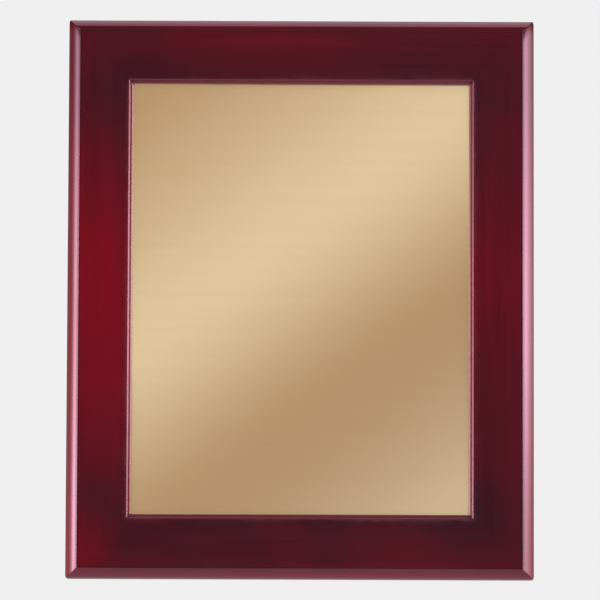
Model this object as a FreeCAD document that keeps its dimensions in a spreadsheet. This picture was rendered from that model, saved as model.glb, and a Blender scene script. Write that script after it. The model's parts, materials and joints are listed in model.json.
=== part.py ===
"""A wall plaque: a lacquered mitred frame that holds a brass plate, loaded from the back.

Millimetres. +Z is up, the front faces -Y, and y = 0 is the back of the frame. The origin is midway
between the round entries of the two keyhole hangers, where the wall screws go in.
"""
import FreeCAD, Part
import math
import os

import Sketcher
from FreeCAD import Placement, Rotation, Vector

# Driving dimensions, in millimetres: the sheet's alias, its value and what it is.
DIMENSIONS = [
    ("plaque_width", 254.0, "Outside width"),
    ("plaque_height", 304.8, "Outside height"),
    ("frame_depth", 19.0, "Front face to back face"),
    ("edge_radius", 6.6, "Round-over of the outer edge"),
    ("edge_quirk", 0.6, "Step from the round-over up to the flat face"),
    ("back_ease", 0.6, "Chamfer of the outer back corner"),
    ("opening_inset", 32.7, "Outer edge to the opening, on the flat face"),
    ("outer_bead", 1.3, "Radius of the opening's first bead"),
    ("ledge_depth", 1.9, "Flat face down to the ledge between the two beads"),
    ("ledge_width", 0.3, "Ledge between the two beads"),
    ("inner_bead", 1.2, "Radius of the second bead, beside the plate"),
    ("lip_depth", 5.0, "Flat face down to the rebate"),
    ("rebate_width", 6.0, "How far the rebate reaches under the lip"),
    ("stack_play", 0.5, "Gap between the rebate's wall and what lies in it"),
    ("plate_thickness", 0.8, "Brass plate"),
    ("tape_thickness", 0.4, "Double-sided tape"),
    ("tape_width", 12.0, "Double-sided tape"),
    ("tape_inset", 10.0, "Edge of the stack to the tape"),
    ("board_thickness", 4.0, "Mount board behind the plate"),
    ("panel_thickness", 3.0, "Back panel"),
    ("flock_thickness", 0.4, "Flocked paper on the back panel"),
    ("nail_leg", 5.0, "Leg of a V-nail, from its corner"),
    ("nail_gauge", 0.5, "Thickness of a V-nail"),
    ("nail_height", 10.0, "How deep a V-nail goes in"),
    ("nail_outer_inset", 7.0, "Outer edge to the outer V-nail"),
    ("nail_inner_inset", 23.0, "Outer edge to the inner V-nail"),
    ("keyhole_inset", 16.0, "Outer edge to the centre of a keyhole's round entry"),
    ("keyhole_spacing", 152.4, "Between the two keyholes"),
    ("keyhole_entry_radius", 4.25, "Round entry for the wall screw's head"),
    ("keyhole_slot_radius", 2.3, "Half the width of the slot"),
    ("keyhole_rise", 5.5, "Centre of the entry up to the centre of the slot's end"),
    ("hanger_width", 40.0, "Keyhole hanger"),
    ("hanger_thickness", 1.2, "Keyhole hanger"),
    ("hanger_margin", 2.4, "Metal above and below the keyhole"),
    ("hanger_corner", 3.0, "Corner radius of the hanger"),
    ("hanger_play", 0.2, "Gap round the hanger in its recess"),
    ("hanger_screw_pitch", 29.0, "Between a hanger's two screws"),
    ("head_pocket_radius", 5.6, "Room for the wall screw's head behind the keyhole"),
    ("head_pocket_depth", 7.5, "The same, from the back of the frame"),
    ("csk_screw_radius", 1.4, "Hanger screw's shank"),
    ("csk_head_radius", 2.5, "Hanger screw's head"),
    ("csk_screw_length", 11.0, "Hanger screw"),
    ("csk_recess_reach", 1.3, "Cross recess of the hanger screw, from its centre"),
    ("button_inset", 20.5, "Outer edge to a turn button's pivot"),
    ("button_spacing", 130.0, "Between the two turn buttons on a stile"),
    ("button_thickness", 1.2, "Turn button"),
    ("button_gap", 0.1, "Play above and below a turn button"),
    ("button_hub_radius", 5.5, "Round end of a turn button, at the pivot"),
    ("button_tip_radius", 3.2, "Round end of a turn button, over the panel"),
    ("button_reach", 13.5, "Pivot to the centre of the tip"),
    ("button_hole_radius", 1.8, "Hole for the pivot screw"),
    ("pivot_radius", 1.75, "Pivot screw's shank"),
    ("pivot_length", 12.0, "Pivot screw below the back of the frame"),
    ("pivot_head_radius", 3.3, "Pivot screw's pan head"),
    ("pivot_head_height", 1.6, "Pivot screw's pan head"),
    ("pivot_head_edge", 0.9, "Rounding of the pan head"),
    ("pivot_recess_reach", 1.7, "Cross recess of the pivot screw, from its centre"),
    ("recess_slot", 0.35, "Half the width of a cross recess"),
    ("recess_depth", 0.8, "Depth of a cross recess"),
    ("screw_point", 3.0, "Length of a screw's point"),
    ("bumper_radius", 5.0, "Rubber bumper"),
    ("bumper_height", 3.6, "Rubber bumper, from the back of the frame to the wall"),
    ("bumper_edge", 0.8, "Rounding of the bumper"),
    ("bumper_inset", 15.0, "Side edge to a bumper"),
    ("bumper_end_inset", 42.0, "Top or bottom edge to a bumper"),
]

# Turn of each member about Y from the top rail's place, in degrees.
SIDES = {"top": 0, "right": 90, "bottom": 180, "left": -90}
MITRE_MARGIN = 1.0  # how far the mitre's cutting triangle runs past the member

# Sums of the driving dimensions that several pieces share.
MEMBER_WIDTH = "(Dims.opening_inset + Dims.outer_bead + Dims.ledge_width + Dims.inner_bead)"
REBATE_INSET = f"({MEMBER_WIDTH} - Dims.rebate_width)"
STACK_WIDTH = f"(Dims.plaque_width - 2 * {REBATE_INSET} - 2 * Dims.stack_play)"
STACK_HEIGHT = f"(Dims.plaque_height - 2 * {REBATE_INSET} - 2 * Dims.stack_play)"
CENTRE_Z = "(Dims.keyhole_inset - Dims.plaque_height / 2)"
BUTTON_TOP = "(2 * Dims.button_gap + Dims.button_thickness)"
HANGER_TOP = "(Dims.keyhole_rise + Dims.keyhole_slot_radius + Dims.hanger_margin)"
HANGER_BOTTOM = "(-Dims.keyhole_entry_radius - Dims.hanger_margin)"
HANGER_MIDDLE = f"(({HANGER_TOP} + {HANGER_BOTTOM}) / 2)"

doc = FreeCAD.newDocument("wall_plaque")
sheet = doc.addObject("Spreadsheet::Sheet", "Dims")
nodes = []


# ---------------------------------------------------------------- sheet, sketches and features

def fill_sheet():
    """Write the driving dimensions into the sheet, one row each."""
    for row, (alias, value, meaning) in enumerate(DIMENSIONS, start=1):
        sheet.set(f"A{row}", meaning)
        sheet.set(f"B{row}", str(value))
        sheet.setAlias(f"B{row}", alias)
    doc.recompute()


def value(expression):
    """The number that an expression of the sheet's cells comes to."""
    return float(sheet.evalExpression(expression))


def new_body(label):
    """An empty body with this label."""
    body = doc.addObject("PartDesign::Body", label)
    body.Label = label
    return body


def new_sketch(body, name, plane, height="0"):
    """A sketch on one of the body's own origin planes, raised along the plane's normal."""
    sketch = body.newObject("Sketcher::SketchObject", name)
    support = [p for p in body.Origin.OriginFeatures if p.Role == plane][0]
    sketch.AttachmentSupport = [(support, "")]
    sketch.MapMode = "FlatFace"
    if height != "0":
        sketch.setExpression("AttachmentOffset.Base.z", height)
    return sketch


def constrain(sketch, kind, places, expression):
    """Add one constraint to a sketch and bind it to the sheet."""
    index = sketch.addConstraint(Sketcher.Constraint(kind, *places, value(expression)))
    sketch.setExpression(f"Constraints[{index}]", expression)


def arc_between(start, end, radius):
    """The smaller arc that turns left from start to end."""
    chord = end - start
    rise = math.sqrt(max(radius ** 2 - chord.Length ** 2 / 4, 0.0))
    left = Vector(-chord.y, chord.x, 0) / chord.Length
    centre = (start + end) / 2 + left * rise
    angles = [math.atan2(p.y - centre.y, p.x - centre.x) for p in (start, end)]
    return Part.ArcOfCircle(Part.Circle(centre, Vector(0, 0, 1), radius), *angles)


def add_outline(sketch, corners, arcs=None):
    """Close a loop through the corners, which are pairs of expressions, in left-turning order.

    arcs gives the radius of each side that is an arc, by the number of the corner it starts from.
    """
    arcs = arcs or {}
    points = [Vector(value(x), value(y), 0) for x, y in corners]
    sides = []
    for number, start in enumerate(points):
        end = points[(number + 1) % len(points)]
        if number in arcs:
            sides.append(sketch.addGeometry(arc_between(start, end, value(arcs[number]))))
        else:
            sides.append(sketch.addGeometry(Part.LineSegment(start, end)))
    for number, side in enumerate(sides):
        next_side = sides[(number + 1) % len(sides)]
        sketch.addConstraint(Sketcher.Constraint("Coincident", side, 2, next_side, 1))
    for (x, y), side in zip(corners, sides):
        constrain(sketch, "DistanceX", (-1, 1, side, 1), x)
        constrain(sketch, "DistanceY", (-1, 1, side, 1), y)
    for number, radius in arcs.items():
        constrain(sketch, "Radius", (sides[number],), radius)


def add_circle(sketch, x, y, radius):
    """A circle whose centre and radius are expressions."""
    centre = Vector(value(x), value(y), 0)
    circle = sketch.addGeometry(Part.Circle(centre, Vector(0, 0, 1), value(radius)))
    constrain(sketch, "Radius", (circle,), radius)
    constrain(sketch, "DistanceX", (-1, 1, circle, 3), x)
    constrain(sketch, "DistanceY", (-1, 1, circle, 3), y)


def add_pad(body, sketch, length, both_ways=False, towards_back=False):
    """Pad a sketch, on both sides of it, or to one side."""
    pad = body.newObject("PartDesign::Pad", f"{sketch.Name}_pad")
    pad.Profile = sketch
    pad.setExpression("Length", length)
    pad.Midplane = both_ways
    pad.Reversed = towards_back
    doc.recompute()
    return pad


def add_pocket(body, sketch, depth=None):
    """Pocket a sketch on the XZ plane towards the front, to a depth or right through."""
    before = body.Shape.Volume
    pocket = body.newObject("PartDesign::Pocket", f"{sketch.Name}_pocket")
    pocket.Profile = sketch
    pocket.Reversed = True
    if depth is None:
        pocket.Type = "ThroughAll"
    else:
        pocket.setExpression("Length", depth)
    doc.recompute()
    if body.Shape.Volume > before - 1e-3:
        raise RuntimeError(f"{pocket.Name} cut nothing")
    return pocket


def add_revolution(body, sketch):
    """Turn a half profile, drawn on the XY plane, about the Y axis."""
    turned = body.newObject("PartDesign::Revolution", f"{sketch.Name}_turned")
    turned.Profile = sketch
    turned.ReferenceAxis = (sketch, ["V_Axis"])
    turned.Angle = 360.0
    doc.recompute()
    return turned


def place(thing, x, y, z, turn=0):
    """Put a piece at a point given by expressions, turned about Y."""
    thing.Placement = Placement(Vector(0, 0, 0), Rotation(Vector(0, 1, 0), turn))
    for axis, expression in zip("xyz", (x, y, z)):
        thing.setExpression(f"Placement.Base.{axis}", expression)


def on_side(side, along, inset):
    """The x and z of a point on a member: along it from its middle, and in from its outer edge."""
    across = f"Dims.plaque_width / 2 - ({inset})"
    upright = f"Dims.plaque_height / 2 - ({inset})"
    return {
        "top": (along, f"{CENTRE_Z} + {upright}"),
        "right": (across, f"{CENTRE_Z} - ({along})"),
        "bottom": (f"-({along})", f"{CENTRE_Z} - ({upright})"),
        "left": (f"-({across})", f"{CENTRE_Z} + {along}"),
    }[side]


def keep(thing):
    """Make a piece one of the part's nodes."""
    nodes.append(thing)
    return thing


def group(label, things):
    """One node that holds several alike pieces as separate solids."""
    compound = doc.addObject("Part::Compound", label)
    compound.Label = label
    compound.Links = things
    return keep(compound)


# ---------------------------------------------------------------- the mitred frame

def moulding_profile(sketch):
    """The frame's section, with the outer edge at the top and the front face to the left."""
    round_start = "-(Dims.frame_depth - Dims.edge_quirk - Dims.edge_radius)"
    quirk = "-(Dims.frame_depth - Dims.edge_quirk)"
    face = "-Dims.frame_depth"
    bead_end = "-(Dims.frame_depth - Dims.outer_bead)"
    ledge = "-(Dims.frame_depth - Dims.ledge_depth)"
    inner_end = "-(Dims.frame_depth - Dims.ledge_depth - Dims.inner_bead)"
    shelf = "-(Dims.frame_depth - Dims.lip_depth)"
    bead_wall = "-(Dims.opening_inset + Dims.outer_bead)"
    ledge_end = f"-({MEMBER_WIDTH} - Dims.inner_bead)"
    corners = [
        ("-Dims.back_ease", "0"),
        (round_start, "0"),
        (quirk, "-Dims.edge_radius"),
        (face, "-Dims.edge_radius"),
        (face, "-Dims.opening_inset"),
        (bead_end, bead_wall),
        (ledge, bead_wall),
        (ledge, ledge_end),
        (inner_end, f"-{MEMBER_WIDTH}"),
        (shelf, f"-{MEMBER_WIDTH}"),
        (shelf, f"-{REBATE_INSET}"),
        ("0", f"-{REBATE_INSET}"),
        ("0", "-Dims.back_ease"),
    ]
    add_outline(sketch, corners, {1: "Dims.edge_radius", 4: "Dims.outer_bead", 7: "Dims.inner_bead"})


def cut_mitres(body, length):
    """Cut both ends of a member to 45 degrees."""
    sketch = new_sketch(body, f"{body.Name}_mitres", "XZ_Plane")
    outer = f"({length} / 2 + {MITRE_MARGIN})"
    inner = f"({length} / 2 - {MEMBER_WIDTH} - {MITRE_MARGIN})"
    low = f"(-{MEMBER_WIDTH} - {MITRE_MARGIN})"
    add_outline(sketch, [(outer, str(MITRE_MARGIN)), (inner, low), (outer, low)])
    add_outline(sketch, [(f"-{outer}", low), (f"-{inner}", low), (f"-{outer}", str(MITRE_MARGIN))])
    add_pocket(body, sketch)


def add_nail_outline(sketch, x, z, right, up):
    """One V-nail seen from the back: its corner lies on the mitre, a leg along each member."""
    half = "Dims.nail_gauge / 2"
    out_x, in_x, end_x = (f"{x} + {right} * ({reach})" for reach in (half, f"-{half}", "-Dims.nail_leg"))
    out_z, in_z, end_z = (f"{z} + {up} * ({reach})" for reach in (half, f"-{half}", "-Dims.nail_leg"))
    corners = [(out_x, out_z), (end_x, out_z), (end_x, in_z), (in_x, in_z), (in_x, end_z), (out_x, end_z)]
    add_outline(sketch, corners)


def cut_nail_slots(body, length):
    """The slots that the V-nails make as they are pressed in at both ends."""
    sketch = new_sketch(body, f"{body.Name}_nail_slots", "XZ_Plane")
    for inset in ("Dims.nail_outer_inset", "Dims.nail_inner_inset"):
        for right in (1, -1):
            add_nail_outline(sketch, f"{right} * ({length} / 2 - {inset})", f"-{inset}", right, 1)
    add_pocket(body, sketch, "Dims.nail_height")


def cut_pivot_holes(body, places):
    """Pilot holes for the turn buttons' screws, along the member."""
    sketch = new_sketch(body, f"{body.Name}_pivot_holes", "XZ_Plane")
    for along in places:
        add_circle(sketch, along, "-Dims.button_inset", "Dims.pivot_radius")
    add_pocket(body, sketch, "Dims.pivot_length")


def cut_hanger_recess(body, along):
    """The recess, the head pocket and the pilot holes of one keyhole hanger."""
    name = f"{body.Name}_recess"
    recess = new_sketch(body, name, "XZ_Plane")
    add_hanger_outline(recess, along, "-Dims.keyhole_inset", "Dims.hanger_play")
    add_pocket(body, recess, "Dims.hanger_thickness")
    room = new_sketch(body, f"{name}_head_room", "XZ_Plane")
    radius = "Dims.head_pocket_radius"
    left, right = f"{along} - {radius}", f"{along} + {radius}"
    bottom, top = "-Dims.keyhole_inset", "-Dims.keyhole_inset + Dims.keyhole_rise"
    corners = [
        (right, bottom), (right, top), (along, f"{top} + {radius}"),
        (left, top), (left, bottom), (along, f"{bottom} - {radius}"),
    ]
    add_outline(room, corners, {1: radius, 2: radius, 4: radius, 5: radius})
    add_pocket(body, room, "Dims.head_pocket_depth")
    pilots = new_sketch(body, f"{name}_pilots", "XZ_Plane")
    for side in (-1, 1):
        x = f"{along} + {side} * Dims.hanger_screw_pitch / 2"
        add_circle(pilots, x, f"-Dims.keyhole_inset + {HANGER_MIDDLE}", "Dims.csk_screw_radius")
    add_pocket(body, pilots, "Dims.csk_screw_length")


def frame_member(label, side, length, pivots, hangers=()):
    """One mitred length of moulding, with what is cut into its back."""
    body = new_body(label)
    profile = new_sketch(body, f"{label}_profile", "YZ_Plane")
    moulding_profile(profile)
    add_pad(body, profile, length, both_ways=True)
    cut_mitres(body, length)
    cut_nail_slots(body, length)
    cut_pivot_holes(body, pivots)
    for along in hangers:
        cut_hanger_recess(body, along)
    x, z = on_side(side, "0", "0")
    place(body, x, "0", z, SIDES[side])
    return keep(body)


def corner_nails():
    """Two V-nails across each mitre, pressed in from the back."""
    body = new_body("corner_v_nails")
    sketch = new_sketch(body, "nail_plan", "XZ_Plane")
    for inset in ("Dims.nail_outer_inset", "Dims.nail_inner_inset"):
        for right in (1, -1):
            for up in (1, -1):
                x = f"{right} * (Dims.plaque_width / 2 - {inset})"
                z = f"{up} * (Dims.plaque_height / 2 - {inset})"
                add_nail_outline(sketch, x, z, right, up)
    add_pad(body, sketch, "Dims.nail_height")
    place(body, "0", "0", CENTRE_Z)
    return keep(body)


# ---------------------------------------------------------------- what lies in the rebate

def sheet_layer(label, width, height, thickness, depth, x="0", z="0"):
    """A flat rectangular piece, its middle at x, z from the plaque's, its front at a depth."""
    box = doc.addObject("Part::Box", label)
    box.Label = label
    box.setExpression("Length", width)
    box.setExpression("Width", thickness)
    box.setExpression("Height", height)
    left, low = f"{x} - {width} / 2", f"{CENTRE_Z} + {z} - {height} / 2"
    place(box, left, f"{depth} - Dims.frame_depth", low)
    return keep(box)


def plate_and_backing():
    """The plate, the tape, the mount board, the filler, the panel and its flock, front to back."""
    plate_back = "(Dims.lip_depth + Dims.plate_thickness)"
    board_front = f"({plate_back} + Dims.tape_thickness)"
    board_back = f"({board_front} + Dims.board_thickness)"
    panel_front = "(Dims.frame_depth - Dims.flock_thickness - Dims.panel_thickness)"
    flock_front = "(Dims.frame_depth - Dims.flock_thickness)"
    full = (STACK_WIDTH, STACK_HEIGHT)
    sheet_layer("engraving_plate", *full, "Dims.plate_thickness", "Dims.lip_depth")
    tape_run = f"({STACK_WIDTH} - 2 * Dims.tape_inset)"
    tape_rise = f"({STACK_HEIGHT} - 2 * Dims.tape_inset - 2 * Dims.tape_width)"
    middle_x = f"({STACK_WIDTH} / 2 - Dims.tape_inset - Dims.tape_width / 2)"
    middle_z = f"({STACK_HEIGHT} / 2 - Dims.tape_inset - Dims.tape_width / 2)"
    strips = {
        "plate_tape_top": (tape_run, "Dims.tape_width", "0", middle_z),
        "plate_tape_bottom": (tape_run, "Dims.tape_width", "0", f"(-{middle_z})"),
        "plate_tape_left": ("Dims.tape_width", tape_rise, f"(-{middle_x})", "0"),
        "plate_tape_right": ("Dims.tape_width", tape_rise, middle_x, "0"),
    }
    for label, (width, height, x, z) in strips.items():
        sheet_layer(label, width, height, "Dims.tape_thickness", plate_back, x, z)
    sheet_layer("mount_board", *full, "Dims.board_thickness", board_front)
    sheet_layer("filler_board", *full, f"({panel_front} - {board_back})", board_back)
    sheet_layer("back_panel", *full, "Dims.panel_thickness", panel_front)
    sheet_layer("flock_cover", *full, "Dims.flock_thickness", flock_front)


# ---------------------------------------------------------------- screws, hangers and buttons

def cut_cross(body, top, reach):
    """A cross recess in a screw's head, from the height of its top."""
    sketch = new_sketch(body, f"{body.Name}_cross", "XZ_Plane", f"-({top})")
    arm, slot = reach, "Dims.recess_slot"
    corners = [
        (arm, f"-{slot}"), (arm, slot), (slot, slot), (slot, arm), (f"-{slot}", arm), (f"-{slot}", slot),
        (f"-{arm}", slot), (f"-{arm}", f"-{slot}"), (f"-{slot}", f"-{slot}"), (f"-{slot}", f"-{arm}"),
        (slot, f"-{arm}"), (slot, f"-{slot}"),
    ]
    add_outline(sketch, corners)
    add_pocket(body, sketch, "Dims.recess_depth")


def pivot_screw(label, x, z):
    """A pan-head wood screw that a turn button swivels on."""
    body = new_body(label)
    sketch = new_sketch(body, f"{label}_profile", "XY_Plane")
    top = f"{BUTTON_TOP} + Dims.pivot_head_height"
    corners = [
        ("0", "-Dims.pivot_length"),
        ("Dims.pivot_radius", "-Dims.pivot_length + Dims.screw_point"),
        ("Dims.pivot_radius", BUTTON_TOP),
        ("Dims.pivot_head_radius", BUTTON_TOP),
        ("Dims.pivot_head_radius", f"{top} - Dims.pivot_head_edge"),
        ("Dims.pivot_head_radius - Dims.pivot_head_edge", top),
        ("0", top),
    ]
    add_outline(sketch, corners, {4: "Dims.pivot_head_edge"})
    add_revolution(body, sketch)
    cut_cross(body, top, "Dims.pivot_recess_reach")
    place(body, x, "0", z)
    return body


def hanger_screw(label, x, z):
    """A countersunk wood screw, flush with the back of its hanger."""
    body = new_body(label)
    sketch = new_sketch(body, f"{label}_profile", "XY_Plane")
    corners = [
        ("0", "-Dims.csk_screw_length"),
        ("Dims.csk_screw_radius", "-Dims.csk_screw_length + Dims.screw_point"),
        ("Dims.csk_screw_radius", "-(Dims.csk_head_radius - Dims.csk_screw_radius)"),
        ("Dims.csk_head_radius", "0"),
        ("0", "0"),
    ]
    add_outline(sketch, corners)
    add_revolution(body, sketch)
    cut_cross(body, "0", "Dims.csk_recess_reach")
    place(body, x, "0", z)
    return body


def add_hanger_outline(sketch, x, z, grow):
    """The hanger's rounded rectangle about its keyhole's entry, grown on every side."""
    half = f"(Dims.hanger_width / 2 + {grow})"
    radius = f"(Dims.hanger_corner + {grow})"
    left, right = f"{x} - {half}", f"{x} + {half}"
    low, high = f"{z} + {HANGER_BOTTOM} - {grow}", f"{z} + {HANGER_TOP} + {grow}"
    corners = [
        (f"{left} + {radius}", low), (f"{right} - {radius}", low),
        (right, f"{low} + {radius}"), (right, f"{high} - {radius}"),
        (f"{right} - {radius}", high), (f"{left} + {radius}", high),
        (left, f"{high} - {radius}"), (left, f"{low} + {radius}"),
    ]
    add_outline(sketch, corners, {1: radius, 3: radius, 5: radius, 7: radius})


def countersink(body):
    """Open the mouths of the screw holes in a hanger to take the screws' heads."""
    radius = value("Dims.csk_screw_radius")
    mouths = []
    for number, edge in enumerate(body.Shape.Edges, start=1):
        round_edge = isinstance(edge.Curve, Part.Circle) and abs(edge.Curve.Radius - radius) < 1e-6
        if round_edge and edge.BoundBox.YMax > -1e-6 and edge.BoundBox.YLength < 1e-6:
            mouths.append(f"Edge{number}")
    drilled = body.Tip
    chamfer = body.newObject("PartDesign::Chamfer", f"{body.Name}_countersink")
    chamfer.Base = (drilled, mouths)
    chamfer.setExpression("Size", "Dims.csk_head_radius - Dims.csk_screw_radius")
    doc.recompute()


def keyhole_hanger(label, along):
    """A stamped hanger, flush in the top rail's back, with its keyhole's entry at the bottom."""
    body = new_body(label)
    plate = new_sketch(body, f"{label}_plate", "XZ_Plane")
    add_hanger_outline(plate, "0", "0", "0")
    add_pad(body, plate, "Dims.hanger_thickness")
    keyhole = new_sketch(body, f"{label}_keyhole", "XZ_Plane")
    entry, slot, rise = "Dims.keyhole_entry_radius", "Dims.keyhole_slot_radius", "Dims.keyhole_rise"
    neck = f"sqrt({entry} ^ 2 - {slot} ^ 2)"
    corners = [
        (slot, neck), (slot, rise), ("0", f"{rise} + {slot}"), (f"-{slot}", rise), (f"-{slot}", neck),
        (f"-{entry}", "0"), ("0", f"-{entry}"), (entry, "0"),
    ]
    add_outline(keyhole, corners, {1: slot, 2: slot, 4: entry, 5: entry, 6: entry, 7: entry})
    add_pocket(body, keyhole)
    holes = new_sketch(body, f"{label}_screw_holes", "XZ_Plane")
    for side in (-1, 1):
        x = f"{side} * Dims.hanger_screw_pitch / 2"
        add_circle(holes, x, HANGER_MIDDLE, "Dims.csk_screw_radius")
    add_pocket(body, holes)
    countersink(body)
    place(body, along, "0", "0")
    return keep(body)


def turn_button(label, side, x, z):
    """A flat teardrop that swivels on its screw, at rest with its tip over the back panel."""
    body = new_body(label)
    plan = new_sketch(body, f"{label}_plan", "XZ_Plane")
    hub, tip, reach = "Dims.button_hub_radius", "Dims.button_tip_radius", "Dims.button_reach"
    slope = f"asin(({hub} - {tip}) / {reach})"
    hub_x, hub_z = f"{hub} * cos({slope})", f"-{hub} * sin({slope})"
    tip_x, tip_z = f"{tip} * cos({slope})", f"-{reach} - {tip} * sin({slope})"
    corners = [
        (hub_x, hub_z), ("0", hub), (f"-{hub_x}", hub_z),
        (f"-{tip_x}", tip_z), ("0", f"-{reach} - {tip}"), (tip_x, tip_z),
    ]
    add_outline(plan, corners, {0: hub, 1: hub, 3: tip, 4: tip})
    add_circle(plan, "0", "0", "Dims.button_hole_radius")
    add_pad(body, plan, "Dims.button_thickness", towards_back=True)
    place(body, x, "Dims.button_gap", z, SIDES[side])
    return keep(body)


def bumper(label, side, along):
    """A rubber foot that keeps the frame and its screws off the wall."""
    body = new_body(label)
    sketch = new_sketch(body, f"{label}_profile", "XY_Plane")
    corners = [
        ("0", "0"),
        ("Dims.bumper_radius", "0"),
        ("Dims.bumper_radius", "Dims.bumper_height - Dims.bumper_edge"),
        ("Dims.bumper_radius - Dims.bumper_edge", "Dims.bumper_height"),
        ("0", "Dims.bumper_height"),
    ]
    add_outline(sketch, corners, {2: "Dims.bumper_edge"})
    add_revolution(body, sketch)
    x, z = on_side(side, along, "Dims.bumper_inset")
    place(body, x, "0", z)
    return keep(body)


# ---------------------------------------------------------------- the whole plaque

def build():
    """Make every piece, in the order in which the plaque goes together."""
    half_spacing = "Dims.button_spacing / 2"
    half_pitch = "Dims.keyhole_spacing / 2"
    hangers = {"left": f"-{half_pitch}", "right": half_pitch}
    stile_pivots = (half_spacing, f"-{half_spacing}")
    frame_member("frame_top_rail", "top", "Dims.plaque_width", ("0",), tuple(hangers.values()))
    frame_member("frame_bottom_rail", "bottom", "Dims.plaque_width", ("0",))
    frame_member("frame_left_stile", "left", "Dims.plaque_height", stile_pivots)
    frame_member("frame_right_stile", "right", "Dims.plaque_height", stile_pivots)
    corner_nails()
    plate_and_backing()
    buttons = {
        "turn_button_top": ("top", "0"),
        "turn_button_bottom": ("bottom", "0"),
        "turn_button_left_upper": ("left", half_spacing),
        "turn_button_left_lower": ("left", f"-{half_spacing}"),
        "turn_button_right_upper": ("right", f"-{half_spacing}"),
        "turn_button_right_lower": ("right", half_spacing),
    }
    pivots = []
    for label, (side, along) in buttons.items():
        x, z = on_side(side, along, "Dims.button_inset")
        turn_button(label, side, x, z)
        pivots.append(pivot_screw(f"{label}_screw", x, z))
    group("turn_button_screws", pivots)
    screws = []
    for name, along in hangers.items():
        keyhole_hanger(f"keyhole_hanger_{name}", along)
        for end, sign in (("outer", "-"), ("inner", "+")):
            x = f"{along} {sign} Dims.hanger_screw_pitch / 2"
            screws.append(hanger_screw(f"keyhole_hanger_{name}_{end}_screw", x, HANGER_MIDDLE))
    group("hanger_screws", screws)
    end = "(Dims.plaque_height / 2 - Dims.bumper_end_inset)"
    bumper("bumper_top_left", "left", end)
    bumper("bumper_bottom_left", "left", f"-{end}")
    bumper("bumper_top_right", "right", f"-{end}")
    bumper("bumper_bottom_right", "right", end)


def check_document():
    """Stop if any object failed, or if any node's shape is missing or broken."""
    doc.recompute()
    for thing in doc.Objects:
        if "Invalid" in thing.State or "Error" in thing.State:
            raise RuntimeError(f"{thing.Name} failed: {thing.State}")
    for node in nodes:
        if node.Shape.isNull() or not node.Shape.isValid():
            raise RuntimeError(f"{node.Label} has no valid shape")


def export_nodes():
    """Write each node's shape to its own STEP file."""
    os.makedirs("parts", exist_ok=True)
    for node in nodes:
        node.Shape.exportStep(os.path.join("parts", f"{node.Label}.step"))
        box = node.Shape.BoundBox
        print(f"{node.Label:26s} solids {len(node.Shape.Solids)}  volume {node.Shape.Volume:10.1f}  "
              f"{box.XLength:.1f} x {box.YLength:.1f} x {box.ZLength:.1f}")


fill_sheet()
build()
check_document()
export_nodes()
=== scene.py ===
"""The look of the wall plaque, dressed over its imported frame.

Metres. +Z is up, the front faces -Y, and y = 0 is the back of the wooden frame.
"""

import json
import math
import random

import bmesh
import bpy
from mathutils import Matrix, Vector, noise


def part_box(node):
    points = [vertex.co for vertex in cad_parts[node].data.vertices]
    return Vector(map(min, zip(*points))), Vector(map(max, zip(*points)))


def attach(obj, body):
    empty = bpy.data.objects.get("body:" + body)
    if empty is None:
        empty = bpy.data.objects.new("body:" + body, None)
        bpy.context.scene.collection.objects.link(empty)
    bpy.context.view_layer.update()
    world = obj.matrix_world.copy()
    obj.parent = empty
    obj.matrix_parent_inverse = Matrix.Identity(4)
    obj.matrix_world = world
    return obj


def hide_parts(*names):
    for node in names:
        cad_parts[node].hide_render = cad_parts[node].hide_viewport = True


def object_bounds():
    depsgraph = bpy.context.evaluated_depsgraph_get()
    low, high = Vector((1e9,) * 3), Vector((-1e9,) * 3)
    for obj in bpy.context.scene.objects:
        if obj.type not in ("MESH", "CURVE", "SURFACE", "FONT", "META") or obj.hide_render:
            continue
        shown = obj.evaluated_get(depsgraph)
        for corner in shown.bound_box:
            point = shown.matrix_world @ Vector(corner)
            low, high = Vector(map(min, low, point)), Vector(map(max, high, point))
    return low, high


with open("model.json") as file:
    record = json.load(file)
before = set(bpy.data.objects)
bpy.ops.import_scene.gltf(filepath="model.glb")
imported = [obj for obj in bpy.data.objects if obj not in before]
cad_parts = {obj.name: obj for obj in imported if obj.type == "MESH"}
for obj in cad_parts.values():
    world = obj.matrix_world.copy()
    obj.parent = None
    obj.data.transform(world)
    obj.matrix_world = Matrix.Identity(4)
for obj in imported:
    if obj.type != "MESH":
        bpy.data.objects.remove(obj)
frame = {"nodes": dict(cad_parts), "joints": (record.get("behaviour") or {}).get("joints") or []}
cad_low, cad_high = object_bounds()

random.seed(11)

MM = 0.001
BODY = "plaque"

# The plaque's outer box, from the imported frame.
HALF_WIDTH = cad_high.x
HALF_HEIGHT = (cad_high.z - cad_low.z) / 2
FACE = cad_low.y
CENTRE = Vector((0, FACE, (cad_high.z + cad_low.z) / 2))

# The outer round-over: its radius, how steep it still is where it meets the quirk, and the quirk's step.
ROUND_OVER = 7.2
MEETING_SLOPE = 6
QUIRK = 0.6


def round_over(steps=22):
    """The outer round-over's corners, from the plaque's side up to the foot of the quirk."""
    corners = []
    for step in range(steps + 1):
        slope = math.radians(90 + (MEETING_SLOPE - 90) * step / steps)
        inset = ROUND_OVER * (1 - math.sin(slope))
        depth = QUIRK + ROUND_OVER * (1 - math.cos(slope))
        corners.append((inset, depth, 0.0))
    return corners


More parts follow.
